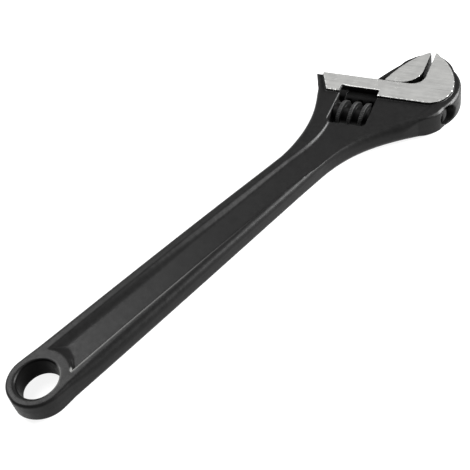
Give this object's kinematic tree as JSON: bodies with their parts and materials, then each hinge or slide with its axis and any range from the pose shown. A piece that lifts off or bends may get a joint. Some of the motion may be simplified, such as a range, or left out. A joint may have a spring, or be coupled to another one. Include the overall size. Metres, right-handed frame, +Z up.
{
  "type": "adjustable wrench",
  "caption": "Open-ended adjustable wrench with an I-section handle, hanging hole and a movable jaw driven by a thumb-turned worm.",
  "frame": {"origin": "centre of the footprint, on the surface that the wrench lies on", "axes": "+X along the handle towards the jaws, +Z up out of the ground face, +Y towards the open side of the head"},
  "size_m": [0.2569, 0.0672, 0.0136],
  "materials": {
    "black_forging": "black phosphate on forged steel, ground bare on the head's flats",
    "ground_steel": "ground, dull",
    "worm_steel": "dark, bright on the thread's crests",
    "pin_steel": "turned",
    "spring_steel": "drawn wire"
  },
  "bodies": {
    "frame": {"body": "black_forging", "worm_pin": "pin_steel", "worm_spring": "spring_steel"},
    "jaw": {"movable_jaw": "ground_steel"},
    "worm": {"worm": "worm_steel"}
  },
  "joints": [
    {"name": "jaw_slide", "type": "slide", "parent": "frame", "child": "jaw", "axis": [-0.3827, 0.9239, 0], "range_m": [-0.0021, 0.0288]},
    {"name": "worm_spin", "type": "hinge", "parent": "frame", "child": "worm", "pos_m": [0.07648, 0.00268, 0.0068], "axis": [-0.3827, 0.9239, 0], "range_deg": [-140, 1890]}
  ],
  "couplings": [
    {"joint": "worm_spin", "follows": "jaw_slide", "rad_per_m": 1142.4}
  ]
}
